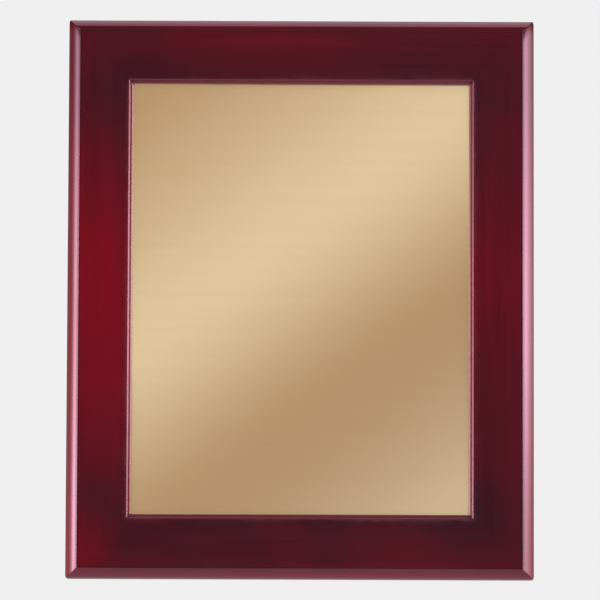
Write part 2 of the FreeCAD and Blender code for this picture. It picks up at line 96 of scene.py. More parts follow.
# The moulding's section: inset from the outer edge, depth behind the face, rounding. Millimetres.
SECTION = [
    (0.0, 19.0, 0.5),
    *round_over(),
    (6.6, QUIRK, 0.0),
    (6.6, 0.0, 0.1),
    (34.0, 0.0, 0.8),
    (34.0, 1.9, 0.12),
    (35.5, 1.9, 0.85),
    (35.5, 5.0, 0.12),
    (29.5, 5.0, 0.0),
    (29.5, 19.0, 0.3),
]
OPENING_INSET = 35.5 * MM   # outer edge to the opening in front of the plate
CORNER_RADIUS = 2.6 * MM    # rounding of the plaque's outer corners, seen from the front
# Rings at the end of a member: how far back from the mitre, and how far sunk to show the joint.
END_RINGS = [(0.0, 0.06 * MM), (0.07 * MM, 0.025 * MM), (0.2 * MM, 0.0), (0.42 * MM, 0.0),
             (0.7 * MM, 0.0), (1.05 * MM, 0.0), (1.45 * MM, 0.0), (1.86 * MM, 0.0)]
MEMBER_SPANS = 15           # spans along a member between its two ends' rings

# The hardware's sizes, as the CAD has them.
NAIL_INSETS = (7.0 * MM, 23.0 * MM)     # outer edge to each row of V-nails
NAIL_LEG = 5.0 * MM
NAIL_HALF_GAUGE = 0.25 * MM
NAIL_DEPTH = 10.0 * MM
KEYHOLE_RISE = 5.5 * MM                 # round entry up to the slot's end
HEAD_ROOM_RADIUS = 5.6 * MM             # room for the wall screw's head behind a keyhole
HEAD_ROOM_DEPTH = 7.5 * MM
HANGER_SCREW_OFFSET = 14.5 * MM         # middle of a hanger to each of its screws
HANGER_SCREW_RADIUS = 1.4 * MM
HANGER_SCREW_LENGTH = 11.0 * MM
PIVOT_INSET = 20.5 * MM                 # outer edge to a turn button's pivot
PIVOT_RADIUS = 1.75 * MM
PIVOT_LENGTH = 12.0 * MM
BUTTON_TOP = 1.4 * MM                   # where a pivot screw's head starts

# How the cuts for the hardware run a little past it.
NAIL_PLAY = 0.04 * MM                   # gap round a V-nail in its slot
NAIL_SLOT_DEPTH = 10.05 * MM
RECESS_CUT = 0.8 * MM                   # the cuts behind a hanger start here, inside its recess

# Which way each member faces outwards.
SIDES = {
    "top_rail": Vector((0, 0, 1)),
    "right_stile": Vector((1, 0, 0)),
    "bottom_rail": Vector((0, 0, -1)),
    "left_stile": Vector((-1, 0, 0)),
}


# ---------------------------------------------------------------- meshes

def link(obj):
    """Put an object into the scene."""
    bpy.context.scene.collection.objects.link(obj)
    return obj


def mesh_object(name, points, faces):
    """A closed mesh with its faces turned outwards."""
    mesh = bpy.data.meshes.new(name)
    mesh.from_pydata([tuple(p) for p in points], [], faces)
    work = bmesh.new()
    work.from_mesh(mesh)
    bmesh.ops.recalc_face_normals(work, faces=work.faces)
    work.to_mesh(mesh)
    work.free()
    return link(bpy.data.objects.new(name, mesh))


def smooth(obj, angle=32, flats=False):
    """Shade smooth, with edges sharper than the angle left crisp, and flat faces kept flat if asked."""
    obj.data.shade_smooth()
    obj.data.set_sharp_from_angle(angle=math.radians(angle))
    if flats:
        weighted = obj.modifiers.new("flats", "WEIGHTED_NORMAL")
        weighted.mode = "FACE_AREA"
        weighted.weight = 50
        weighted.keep_sharp = True


def bake_modifiers(obj):
    """Turn an object's modifiers into its mesh."""
    graph = bpy.context.evaluated_depsgraph_get()
    mesh = bpy.data.meshes.new_from_object(obj.evaluated_get(graph))
    obj.modifiers.clear()
    old = obj.data
    obj.data = mesh
    bpy.data.meshes.remove(old)


def subtract(obj, cutters):
    """Cut solids out of an object, and throw them away."""
    for cutter in cutters:
        cut = obj.modifiers.new("cut", "BOOLEAN")
        cut.operation = "DIFFERENCE"
        cut.solver = "EXACT"
        cut.object = cutter
    bpy.context.view_layer.update()
    bake_modifiers(obj)
    for cutter in cutters:
        mesh = cutter.data
        bpy.data.objects.remove(cutter)
        bpy.data.meshes.remove(mesh)


def finished(obj, finish, node, body=BODY):
    """Give a new piece its material and its body, and hide the CAD node that it stands for."""
    obj.data.materials.clear()
    obj.data.materials.append(finish)
    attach(obj, body)
    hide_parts(node)


def rounded_outline(corners):
    """The points round a right-angled outline whose corners are rounded."""
    points = []
    for number, (x, y, radius) in enumerate(corners):
        corner = Vector((x, y))
        if radius == 0:
            points.append(corner)
            continue
        to_last = (Vector(corners[number - 1][:2]) - corner).normalized()
        to_next = (Vector(corners[(number + 1) % len(corners)][:2]) - corner).normalized()
        middle = corner + radius * (to_last + to_next)
        steps = 8 if radius > 0.7 else 4    # more on the lip's two beads, which are in millimetres
        for step in range(steps + 1):
            turn = math.pi / 2 * step / steps
            points.append(middle - radius * (to_next * math.cos(turn) + to_last * math.sin(turn)))
    return points


def outline_normals(points):
    """The unit normal at each point of a closed outline."""
    normals = []
    for number, point in enumerate(points):
        ahead = points[(number + 1) % len(points)] - points[number - 1]
        normals.append(Vector((ahead.y, -ahead.x)).normalized())
    area = sum(a.cross(b) for a, b in zip(points, points[1:] + points[:1]))
    return [n if area > 0 else -n for n in normals]


def rings_to_object(name, rings):
    """A closed solid through rings of points, capped at both ends."""
    size = len(rings[0])
    points = [point for ring in rings for point in ring]
    faces = []
    for row in range(len(rings) - 1):
        for column in range(size):
            after = (column + 1) % size
            faces.append((row * size + column, row * size + after,
                          (row + 1) * size + after, (row + 1) * size + column))
    faces.append(tuple(range(size)))
    faces.append(tuple(range((len(rings) - 1) * size, len(rings) * size)))
    return mesh_object(name, points, faces)


def prism(name, outline, levels):
    """A solid of one outline in X and Z through levels of (y, growth)."""
    normals = outline_normals(outline)
    rings = []
    for y, growth in levels:
        rings.append([Vector((p.x + n.x * growth, y, p.y + n.y * growth))
                      for p, n in zip(outline, normals)])
    return rings_to_object(name, rings)


def arc(centre, radius, start, end, steps):
    """Points along an arc in X and Z, angles in degrees."""
    points = []
    for step in range(steps + 1):
        angle = math.radians(start + (end - start) * step / steps)
        points.append(Vector((centre[0] + radius * math.cos(angle), centre[1] + radius * math.sin(angle))))
    return points


def turned(name, profile, x, z, steps=48):
    """A solid of revolution about a line along Y, from (radius, y) pairs between two points on it."""
    first, last = profile[0], profile[-1]
    points = [Vector((x, first[1], z)), Vector((x, last[1], z))]
    inner = profile[1:-1]
    for step in range(steps):
        angle = 2 * math.pi * step / steps
        points += [Vector((x + r * math.cos(angle), y, z + r * math.sin(angle))) for r, y in inner]
    size = len(inner)
    faces = []
    for step in range(steps):
        here, there = 2 + step * size, 2 + (step + 1) % steps * size
        faces.append((0, here, there))
        faces.append((1, here + size - 1, there + size - 1))
        for row in range(size - 1):
            faces.append((here + row, here + row + 1, there + row + 1, there + row))
    return mesh_object(name, points, faces)


def joined(name, pieces):
    """Several objects as one mesh."""
    work = bmesh.new()
    for piece in pieces:
        work.from_mesh(piece.data)
        mesh = piece.data
        bpy.data.objects.remove(piece)
        bpy.data.meshes.remove(mesh)
    mesh = bpy.data.meshes.new(name)
    work.to_mesh(mesh)
    work.free()
    return link(bpy.data.objects.new(name, mesh))


def softened(name, node, width):
    """A copy of a CAD node with its edges rolled over."""
    work = bmesh.new()
    work.from_mesh(frame["nodes"][node].data)
    bmesh.ops.remove_doubles(work, verts=work.verts, dist=1e-6)
    bmesh.ops.dissolve_limit(work, angle_limit=math.radians(0.5), verts=work.verts, edges=work.edges)
    mesh = bpy.data.meshes.new(name)
    work.to_mesh(mesh)
    work.free()
    obj = link(bpy.data.objects.new(name, mesh))
    edge = obj.modifiers.new("edge", "BEVEL")
    edge.width = width
    edge.segments = 3
    edge.limit_method = "ANGLE"
    edge.angle_limit = math.radians(40)
    bpy.context.view_layer.update()
    bake_modifiers(obj)
    smooth(obj, 30, flats=True)
    return obj


# ---------------------------------------------------------------- node materials

class Finish:
    """A material and its node tree, built a node at a time."""

    def __init__(self, name):
        self.material = bpy.data.materials.new(name)
        self.material.use_nodes = True
        self.tree = self.material.node_tree
        self.tree.nodes.clear()
        self.place = self.add("ShaderNodeTexCoord").outputs["Object"]

    def add(self, kind, sockets=None, **settings):
        """A node, its settings, and its inputs, each a number, a colour or another node's output."""
        node = self.tree.nodes.new(kind)
        for name, setting in settings.items():
            setattr(node, name, setting)
        for name, source in (sockets or {}).items():
            if isinstance(source, bpy.types.NodeSocket):
                self.tree.links.new(source, node.inputs[name])
            else:
                node.inputs[name].default_value = source
        return node

    def math(self, operation, first, second=0.0):
        """One sum, on numbers or other nodes' outputs."""
        return self.add("ShaderNodeMath", {0: first, 1: second}, operation=operation).outputs[0]

    def stretched(self, scale):
        """The object's coordinates, scaled along each axis."""
        return self.add("ShaderNodeMapping", {"Vector": self.place, "Scale": scale}).outputs[0]

    def noise(self, scale, detail=3.0, roughness=0.5, stretch=(1, 1, 1), distortion=0.0):
        """Soft noise, scale per metre, drawn out along the axes whose stretch is under 1."""
        sockets = {"Vector": self.stretched(stretch), "Scale": scale, "Detail": detail,
                   "Roughness": roughness, "Distortion": distortion}
        return self.add("ShaderNodeTexNoise", sockets).outputs["Fac"]

    def span(self, source, low, high, to_low=0.0, to_high=1.0, kind="SMOOTHSTEP"):
        """A value carried from one range to another, and kept inside it."""
        sockets = {"Value": source, "From Min": low, "From Max": high, "To Min": to_low, "To Max": to_high}
        return self.add("ShaderNodeMapRange", sockets, interpolation_type=kind).outputs[0]

    def blend(self, share, first, second, kind="MIX"):
        """Two colours mixed."""
        node = self.add("ShaderNodeMix", data_type="RGBA", blend_type=kind)
        for socket, source in ((node.inputs[0], share), (node.inputs[6], first), (node.inputs[7], second)):
            if isinstance(source, bpy.types.NodeSocket):
                self.tree.links.new(source, socket)
            else:
                socket.default_value = source
        return node.outputs[2]

    def near(self, point, radius, stretch=(1, 1, 1)):
        """1 at a point, falling to 0 at a distance from it."""
        kind = "ShaderNodeVectorMath"
        shifted = self.add(kind, {0: self.place, 1: point}, operation="SUBTRACT").outputs[0]
        scaled = self.add(kind, {0: shifted, 1: stretch}, operation="MULTIPLY").outputs[0]
        length = self.add(kind, {0: scaled}, operation="LENGTH").outputs["Value"]
        return self.span(length, 0.0, radius, 1.0, 0.0)

    def bump(self, height, strength, distance, over=None):
        """A bumped normal, over another one if there is one."""
        sockets = {"Height": height, "Strength": strength, "Distance": distance}
        if over is not None:
            sockets["Normal"] = over
        return self.add("ShaderNodeBump", sockets).outputs[0]

    def surface(self, sockets):
        """Finish the material with a Principled surface."""
        shader = self.add("ShaderNodeBsdfPrincipled", sockets)
        self.add("ShaderNodeOutputMaterial", {"Surface": shader.outputs[0]})
        return self.material


def rgb(red, green, blue):
    """A colour with its alpha."""
    return (red, green, blue, 1.0)


# Painted light and shade on the lacquer's face, where it shows warmer or cooler: X and Z from the face's
# middle, how far in each, how much.
PAINTED_LIGHT_AND_SHADE_SPOTS = [
    ((-0.110, 0.000), (0.055, 0.115), 0.86),
    ((0.107, 0.020), (0.053, 0.090), 0.34),
    ((-0.117, -0.134), (0.024, 0.032), 0.40),
    ((-0.045, 0.140), (0.130, 0.026), 0.28),
    ((-0.119, 0.090), (0.020, 0.060), 0.12),
    ((0.112, -0.120), (0.045, 0.055), -0.06),
    ((0.075, -0.140), (0.055, 0.030), 0.10),
]
CORNER_SHADE_MIDDLE = (36 * MM, 33 * MM)   # middle of the painted shade round each of the opening's corners: in from the side, and from the end
CORNER_SHADE_REACH = 42 * MM
# The reds that the stain and the painted light and shade blend between. The stiles' and rails' warm reds
# differ as painted light: the rails' is darker and pinker, a painted reflection glow.
COOL_RED = rgb(0.040, 0.0068, 0.0136)
WARM_STILE_RED = rgb(0.205, 0.0022, 0.0086)
WARM_RAIL_RED = rgb(0.178, 0.0058, 0.0142)
# Painted light: the lighter reds of the outer round-over and the lip's beads where the side lights fall,
# brighter on the stiles than on the rails.
PAINTED_LIT_STILE_RED = rgb(0.220, 0.0050, 0.0080)
PAINTED_LIT_RAIL_RED = rgb(0.135, 0.0076, 0.0165)
# Painted shade along the quirk.
QUIRK_SHADE_RED = rgb(0.018, 0.0008, 0.0016)
JOINT_RED = rgb(0.012, 0.001, 0.002)


class Lacquer(Finish):
    """A finish for the mitred frame: it knows how far in from the outer edges a point lies."""

    def __init__(self, name):
        super().__init__(name)
        axes = self.add("ShaderNodeSeparateXYZ", {0: self.place})
        self.depth = axes.outputs["Y"]
        self.height = axes.outputs["Z"]
        self.from_side = self.math("SUBTRACT", HALF_WIDTH, self.math("ABSOLUTE", axes.outputs["X"]))
        off_middle = self.math("ABSOLUTE", self.math("SUBTRACT", self.height, CENTRE.z))
        self.from_end = self.math("SUBTRACT", HALF_HEIGHT, off_middle)
        self.inset = self.math("MINIMUM", self.from_side, self.from_end)
        # 0 on the stiles and at the mitres, and 1 well along the rails.
        self.on_rail = self.span(self.math("SUBTRACT", self.from_side, self.from_end), 0.0, 35 * MM)

    def stain_and_painted_light(self):
        """How warm the red shows: the stain's mottling, with painted light and painted shade laid over it.
        0 is cool, and 1 is warm.
        """
        stain_and_painted_light = self.span(self.noise(16, 2, 0.5, distortion=0.6), 0.3, 0.7, 0.20, 0.38)
        # Painted pools of light, and a patch of painted shade, at the listed spots.
        for (x, z), (wide, tall), share in PAINTED_LIGHT_AND_SHADE_SPOTS:
            spot = self.near((x, 0, CENTRE.z + z), 1.0, (1 / wide, 0, 1 / tall))
            stain_and_painted_light = self.math("ADD", stain_and_painted_light, self.math("MULTIPLY", spot, share))
        # Painted shade round the opening's corners, and along the rails next to the opening, darker
        # towards it.
        for right in (-1, 1):
            for up in (-1, 1):
                x = right * (HALF_WIDTH - CORNER_SHADE_MIDDLE[0])
                z = CENTRE.z + up * (HALF_HEIGHT - CORNER_SHADE_MIDDLE[1])
                painted_corner_shade = self.math("MULTIPLY", self.near((x, FACE, z), CORNER_SHADE_REACH), 0.15)
                stain_and_painted_light = self.math("SUBTRACT", stain_and_painted_light, painted_corner_shade)
        painted_rail_shade = self.span(self.inset, 10 * MM, 33 * MM, -0.06, 0.12)
        stain_and_painted_light = self.math("SUBTRACT", stain_and_painted_light, self.math("MULTIPLY", self.on_rail, painted_rail_shade))
        return self.span(stain_and_painted_light, 0.0, 1.0, kind="LINEAR")

    def painted_edge_light(self):
        """Painted light: lighter red over the outer round-over where the side lights fall, less towards
        the top, and a painted highlight on the lip's beads.
        """
        edge = self.math("MULTIPLY", self.span(self.inset, 6.4 * MM, 3.0 * MM),
                         self.span(self.depth, FACE + 9 * MM, FACE + 13 * MM, 1.0, 0.0))
        less = self.span(self.height, CENTRE.z + 30 * MM, CENTRE.z + 130 * MM, 1.0, 0.45)
        beads = self.span(self.inset, 32.8 * MM, 33.6 * MM, 0.0, 0.7)
        return self.math("MAXIMUM", self.math("MULTIPLY", edge, less), beads)

    def painted_quirk_shade(self):
        """Painted shade: a darker line along the quirk, where the round-over steps up to the face."""
        off_quirk = self.math("ABSOLUTE", self.math("SUBTRACT", self.inset, 6.9 * MM))
        return self.span(off_quirk, 0.1 * MM, 0.6 * MM, 0.45, 0.0)

    def at_joint(self):
        """The mitres show as dark lines, but not on the face, where the lacquer fills them."""
        off_mitre = self.math("ABSOLUTE", self.math("SUBTRACT", self.from_side, self.from_end))
        return self.math("MULTIPLY", self.span(off_mitre, 0.0, 0.45 * MM, 0.7, 0.0),
                         self.span(self.depth, FACE + 0.05 * MM, FACE + 0.5 * MM))

    def figured(self, colour, grain, pores):
        """A colour with the wood's grain and pores in it."""
        figure = self.math("ADD", self.span(grain, 0.3, 0.7, 0.86, 1.12),
                           self.span(pores, 0.62, 0.78, 0.0, -0.12))
        grey = self.add("ShaderNodeCombineColor", {0: figure, 1: figure, 2: figure}).outputs[0]
        return self.blend(1.0, colour, grey, "MULTIPLY")

    def roughness(self):
        """Polished in front and at the sides, and duller on the back."""
        polish = self.span(self.noise(60, 3), 0.3, 0.7, 0.020, 0.036)
        return self.math("ADD", polish, self.span(self.depth, -2 * MM, -0.5 * MM, 0.0, 0.34))

    def relief(self, grain):
        """Orange peel, and on the back, which is sprayed only once, the wood's grain."""
        peel = self.bump(self.noise(240, 1), 0.009, 0.0003)
        peel = self.bump(self.noise(22, 1), 0.02, 0.002, peel)
        behind = self.span(self.depth, -0.6 * MM, -0.2 * MM)
        return self.bump(self.math("MULTIPLY", behind, grain), 0.5, 0.0006, peel)


def lacquer(name, painted_lit_red, stretch):
    """Deep red piano lacquer over wood. The grain is drawn out along X or Z, by the stretch of each."""
    finish = Lacquer(name)
    x_share, z_share = stretch
    grain = finish.noise(90, 5, 0.62, (x_share, 1, z_share), 0.4)
    pores = finish.noise(700, 2, 0.5, (x_share * 0.5, 1, z_share * 0.5))
    warm = finish.blend(finish.on_rail, WARM_STILE_RED, WARM_RAIL_RED)
    colour = finish.blend(finish.stain_and_painted_light(), COOL_RED, warm)
    # Painted light over the outer round-over and the lip's beads.
    colour = finish.blend(finish.painted_edge_light(), colour, painted_lit_red)
    # Painted shade along the quirk.
    colour = finish.blend(finish.painted_quirk_shade(), colour, QUIRK_SHADE_RED)
    colour = finish.figured(colour, grain, pores)
    colour = finish.blend(finish.at_joint(), colour, JOINT_RED)
    return finish.surface({
        "Base Color": colour, "Roughness": finish.roughness(), "IOR": 1.55, "Specular IOR Level": 0.8,
        "Specular Tint": rgb(1.0, 0.56, 0.74), "Normal": finish.relief(grain),
    })


def satin_brass():
    """Satin brass, brushed along X, with faint smears in the polish."""
    finish = Finish("satin_brass_plate")
    brush = finish.noise(2400, 2, 0.5, (0.03, 1, 1))
    streaks = finish.noise(260, 3, 0.5, (0.015, 1, 1))
    smears = finish.noise(14, 3, 0.5, distortion=0.5)
    tone = finish.math("ADD", finish.span(streaks, 0.3, 0.7, -0.25, 0.25),
                       finish.span(smears, 0.3, 0.7, 0.35, 0.65))
    colour = finish.blend(tone, rgb(0.794, 0.606, 0.368), rgb(0.814, 0.626, 0.394))
    rough = finish.span(smears, 0.3, 0.7, 0.030, 0.042)
    return finish.surface({
        "Base Color": colour, "Metallic": 1.0, "Roughness": rough,
        "Normal": finish.bump(brush, 0.008, 0.0001),
    })


def plated_steel(name, bright, dull, roughness):
    """Plated steel with a fine rolled grain, dull patches and a little dust in its scratches."""
    finish = Finish(name)
    patches = finish.noise(120, 4, 0.6, distortion=0.8)
    rolled = finish.noise(1500, 2, 0.5, (1, 1, 0.08))
    scratches = finish.noise(2600, 1, 0.5, (0.04, 1, 1), 2.0)
    worn = finish.span(scratches, 0.66, 0.72)
    colour = finish.blend(finish.span(patches, 0.35, 0.65), bright, dull)
    colour = finish.blend(finish.math("MULTIPLY", worn, 0.35), colour, rgb(0.28, 0.27, 0.25))
    rough = finish.math("ADD", finish.span(patches, 0.3, 0.7, roughness, roughness + 0.16),
                        finish.span(rolled, 0.3, 0.7, -0.03, 0.05))
    normal = finish.bump(rolled, 0.10, 0.0001)
    normal = finish.bump(worn, -0.15, 0.0001, normal)
    return finish.surface({"Base Color": colour, "Metallic": 1.0, "Roughness": rough, "Normal": normal})


def flock():
    """Black flocked paper: short dense pile, with strokes where the nap lies over."""
    finish = Finish("black_flock_pile")
    nap = finish.noise(26, 3, 0.55, distortion=1.2)
    pile = finish.noise(2200, 3, 0.7)
    lint = finish.span(finish.noise(420, 2, 0.5, distortion=2.5), 0.735, 0.76)
    lying = finish.span(nap, 0.35, 0.65)
    colour = finish.blend(lying, rgb(0.009, 0.009, 0.010), rgb(0.020, 0.020, 0.022))
    colour = finish.blend(finish.span(pile, 0.35, 0.7, 0.0, 0.6), colour, rgb(0.034, 0.034, 0.036))
    colour = finish.blend(finish.math("MULTIPLY", lint, 0.35), colour, rgb(0.16, 0.16, 0.16))
    normal = finish.bump(pile, 0.55, 0.0004)
    normal = finish.bump(nap, 0.12, 0.002, normal)
    return finish.surface({
        "Base Color": colour, "Roughness": 0.95, "Sheen Weight": 0.35, "Sheen Roughness": 0.45,
        "Sheen Tint": rgb(0.55, 0.55, 0.60), "Specular IOR Level": 0.15, "Normal": normal,
    })


def rubber():
    """Black rubber, slightly bloomed."""
    finish = Finish("black_rubber_moulded")
    bloom = finish.noise(300, 4, 0.6)
    skin = finish.noise(3500, 2)
    dusty = finish.span(bloom, 0.4, 0.75)
    colour = finish.blend(dusty, rgb(0.018, 0.018, 0.019), rgb(0.055, 0.053, 0.050))
    rough = finish.span(bloom, 0.3, 0.7, 0.48, 0.66)
    normal = finish.bump(skin, 0.25, 0.00015)
    return finish.surface({"Base Color": colour, "Roughness": rough, "Normal": normal})


def board(name, light, dark, fibre=(1, 1, 1), ribs=False):
    """Paper, card or fibreboard: mottled, with fibres, and flutes if it is corrugated."""
    finish = Finish(name)
    mottle = finish.noise(180, 4, 0.6)
    fibres = finish.noise(1400, 4, 0.7, fibre)
    share = finish.math("ADD", finish.span(mottle, 0.3, 0.7, 0.0, 0.5),
                        finish.span(fibres, 0.3, 0.7, 0.0, 0.5))
    colour = finish.blend(share, light, dark)
    normal = finish.bump(fibres, 0.3, 0.0002)
    if ribs:
        flutes = finish.add("ShaderNodeTexWave", {
            "Vector": finish.place, "Scale": 45.0, "Distortion": 0.3}, bands_direction="X").outputs["Fac"]
        normal = finish.bump(flutes, 0.4, 0.0003, normal)
    return finish.surface({"Base Color": colour, "Roughness": 0.85, "Normal": normal})


RAIL_LACQUER = lacquer("red_lacquer_rail", PAINTED_LIT_RAIL_RED, (0.05, 1.0))
STILE_LACQUER = lacquer("red_lacquer_stile", PAINTED_LIT_STILE_RED, (1.0, 0.05))
BRASS = satin_brass()
NICKEL = plated_steel("nickel_plate", rgb(0.72, 0.70, 0.66), rgb(0.58, 0.56, 0.52), 0.20)
ZINC = plated_steel("zinc_plate", rgb(0.64, 0.66, 0.69), rgb(0.48, 0.50, 0.54), 0.28)
FLOCK = flock()
RUBBER = rubber()
FIBREBOARD = board("brown_fibreboard", rgb(0.33, 0.22, 0.13), rgb(0.20, 0.125, 0.07))
MOUNT_BOARD = board("grey_mount_board", rgb(0.42, 0.38, 0.33), rgb(0.30, 0.27, 0.23))
CORRUGATED = board("corrugated_kraft", rgb(0.42, 0.29, 0.17), rgb(0.30, 0.20, 0.11), (1, 1, 0.2),
                   ribs=True)
TAPE = board("white_tape", rgb(0.78, 0.77, 0.73), rgb(0.66, 0.65, 0.61), (0.3, 1, 1))


# ---------------------------------------------------------------- the mitred frame

def nail_outline(x, z, grow=0.0):
    """The outline of a V-nail in plan: its corner on the mitre, a leg along each member."""
    right, up = math.copysign(1, x), math.copysign(1, z - CENTRE.z)
    half, leg = NAIL_HALF_GAUGE + grow, NAIL_LEG + grow
    steps = [(half, half), (-leg, half), (-leg, -half), (-half, -half), (-half, -leg), (half, -leg)]
    points = [Vector((x + right * a, z + up * b)) for a, b in steps]
    return points if right * up > 0 else points[::-1]


def nail_places():
    """Where the V-nails' corners are."""
    places = []
    for inset in NAIL_INSETS:
        for right in (1, -1):
            for up in (1, -1):
                places.append((right * (HALF_WIDTH - inset), CENTRE.z + up * (HALF_HEIGHT - inset)))
    return places


def recess_cutters(node):
    """What is cut away behind a keyhole hanger: its recess, the wall screw's room, and two pilots."""
    low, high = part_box(node)
    play, corner = 0.2 * MM, 3.2 * MM
    left, right, bottom, top = low.x - play, high.x + play, low.z - play, high.z + play
    recess = rounded_outline([(right, bottom, corner), (right, top, corner), (left, top, corner),
                              (left, bottom, corner)])
    flare = 0.25 * MM
    levels = [(MM, flare), (0.0, flare), (-flare, 0.0), (low.y - 0.02 * MM, 0.0)]
    cutters = [prism("recess", recess, levels)]
    middle = (low.x + high.x) / 2
    room = arc((middle, KEYHOLE_RISE), HEAD_ROOM_RADIUS, 0, 180, 20)
    room += arc((middle, 0.0), HEAD_ROOM_RADIUS, 180, 360, 20)
    cutters.append(prism("head_room", room, [(-RECESS_CUT, 0.0), (-HEAD_ROOM_DEPTH, 0.0)]))
    for side in (-1, 1):
        centre = (middle + side * HANGER_SCREW_OFFSET, (low.z + high.z) / 2)
        pilot = arc(centre, HANGER_SCREW_RADIUS, 0, 345, 23)
        cutters.append(prism("pilot", pilot, [(-RECESS_CUT, 0.0), (-HANGER_SCREW_LENGTH, 0.0)]))
    return cutters


def mitred_length(name, outward, half_length, half_across):
    """A length of moulding, mitred, rounded at the plaque's corners and eased at its joints."""
    along = Vector((outward.z, 0, -outward.x))
    middle = Vector((0, FACE, CENTRE.z)) + outward * half_across
    outline = rounded_outline(SECTION)
    normals = outline_normals(outline)
    corner_cut = CORNER_RADIUS * (1 - math.sqrt(0.5))   # the rounded corner shortens the mitre by this
    rings = []
    for sign, rows in ((-1, END_RINGS), (1, END_RINGS[::-1])):
        for cut, sunk in rows:
            ring = []
            for point, normal in zip(outline, normals):
                on_face = point.y < 0.05                # the lacquer fills the joint there
                inset, depth = point * MM - normal * (0.0 if on_face else sunk)
                reach = half_length - max(inset, corner_cut) - cut
                into_corner = reach - (half_length - CORNER_RADIUS)
                if into_corner > 0:
                    rounding = CORNER_RADIUS - math.sqrt(CORNER_RADIUS ** 2 - into_corner ** 2)
                    inset = max(inset, rounding)
                ring.append(middle - outward * inset + along * sign * reach + Vector((0, depth, 0)))
            rings.append(ring)
    count = len(END_RINGS)
    between = []
    for step in range(1, MEMBER_SPANS):
        share = step / MEMBER_SPANS
        between.append([a.lerp(b, share) for a, b in zip(rings[count - 1], rings[count])])
    return rings_to_object(name, rings[:count] + between + rings[count:])


def member_cutters(name, outward, half_across):
    """What is cut into a member from behind: slots for V-nails, room for hangers, and pivot holes."""
    cutters = []
    for x, z in nail_places():
        near = outward.dot(Vector((x, 0, z)) - CENTRE) > 0
        if near:
            slot = nail_outline(x, z, NAIL_PLAY)
            cutters.append(prism("nail_slot", slot, [(MM, 0.0), (-NAIL_SLOT_DEPTH, 0.0)]))
    if name == "top_rail":
        cutters += recess_cutters("keyhole_hanger_left") + recess_cutters("keyhole_hanger_right")
    for joint in frame["joints"]:
        x, _, z = joint["pos_m"]
        inset = half_across - outward.dot(Vector((x, 0, z)) - Vector((0, 0, CENTRE.z)))
        if abs(inset - PIVOT_INSET) < MM:
            hole = arc((x, z), PIVOT_RADIUS, 0, 345, 23)
            cutters.append(prism("pivot_hole", hole, [(MM, 0.0), (-PIVOT_LENGTH, 0.0)]))
    return cutters


def frame_member(name, outward):
    """One mitred member, its back cut for the hardware."""
    is_rail = abs(outward.z) > 0.5
    half_length, half_across = (HALF_WIDTH, HALF_HEIGHT) if is_rail else (HALF_HEIGHT, HALF_WIDTH)
    obj = mitred_length(name, outward, half_length, half_across)
    subtract(obj, member_cutters(name, outward, half_across))
    smooth(obj, flats=True)
    finished(obj, RAIL_LACQUER if is_rail else STILE_LACQUER, "frame_" + name)


for member, outward in SIDES.items():
    frame_member(member, outward)


def v_nails():
    """The V-nails, pressed just below the surface, with their leading edges ground thin."""
    pieces = []
    levels = [(-0.12 * MM, -0.04 * MM), (-0.2 * MM, 0.0), (-9.4 * MM, 0.0), (-NAIL_DEPTH, -0.18 * MM)]
    for number, (x, z) in enumerate(nail_places()):
        pieces.append(prism(f"nail_{number}", nail_outline(x, z), levels))
    obj = joined("v_nails", pieces)
    smooth(obj, 25)
    finished(obj, ZINC, "corner_v_nails")


v_nails()


# ---------------------------------------------------------------- plate, flock and what is hidden

def engraving_plate():
    """The brass plate, its sheared edges eased."""
    obj = softened("brass_plate", "engraving_plate", 0.15 * MM)
    finished(obj, BRASS, "engraving_plate")


def flock_sheet():
    """Flocked paper over the back panel, not quite flat, its cut edges a little rough."""
    low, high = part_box("flock_cover")
    columns, rows = 56, 70
    rounding = 0.15 * MM
    top, bottom = [], []
    for row in range(rows + 1):
        for column in range(columns + 1):
            x = low.x + (high.x - low.x) * column / columns
            z = low.z + (high.z - low.z) * row / rows
            edge = column in (0, columns) or row in (0, rows)
            if edge:
                pull = 0.18 * MM * noise.noise(Vector((x * 160, 3.0, z * 160))) + 0.2 * MM
                x -= math.copysign(pull, x) if column in (0, columns) else 0
                z -= math.copysign(pull, z - CENTRE.z) if row in (0, rows) else 0
            lift = 0.10 * MM * (0.5 + 0.5 * noise.noise(Vector((x * 22, 7.0, z * 22))))
            top.append(Vector((x, high.y - lift - (rounding if edge else 0), z)))
            bottom.append(Vector((x, low.y + 0.01 * MM, z)))
    size = len(top)
    wide = columns + 1
    faces = []
    for row in range(rows):
        for column in range(columns):
            corner = row * wide + column
            quad = (corner, corner + 1, corner + wide + 1, corner + wide)
            faces.append(quad)
            faces.append(tuple(size + index for index in quad[::-1]))
    rim = list(range(wide))
    rim += [row * wide + columns for row in range(1, rows + 1)]
    rim += [rows * wide + column for column in range(columns - 1, -1, -1)]
    rim += [row * wide for row in range(rows - 1, 0, -1)]
    for here, there in zip(rim, rim[1:] + rim[:1]):
        faces.append((here, there, size + there, size + here))
    obj = mesh_object("flock_sheet", top + bottom, faces)
    smooth(obj, 60)
    finished(obj, FLOCK, "flock_cover")


engraving_plate()
flock_sheet()

# These CAD nodes keep their meshes.
CAD_FINISHES = {
    "plate_tape_top": TAPE,
    "plate_tape_bottom": TAPE,
    "plate_tape_left": TAPE,
    "plate_tape_right": TAPE,
    "mount_board": MOUNT_BOARD,
    "filler_board": CORRUGATED,
    "back_panel": FIBREBOARD,
}
for node, finish in CAD_FINISHES.items():
    for holder in frame["nodes"][node].material_slots:
        holder.material = finish


# ---------------------------------------------------------------- hardware on the back

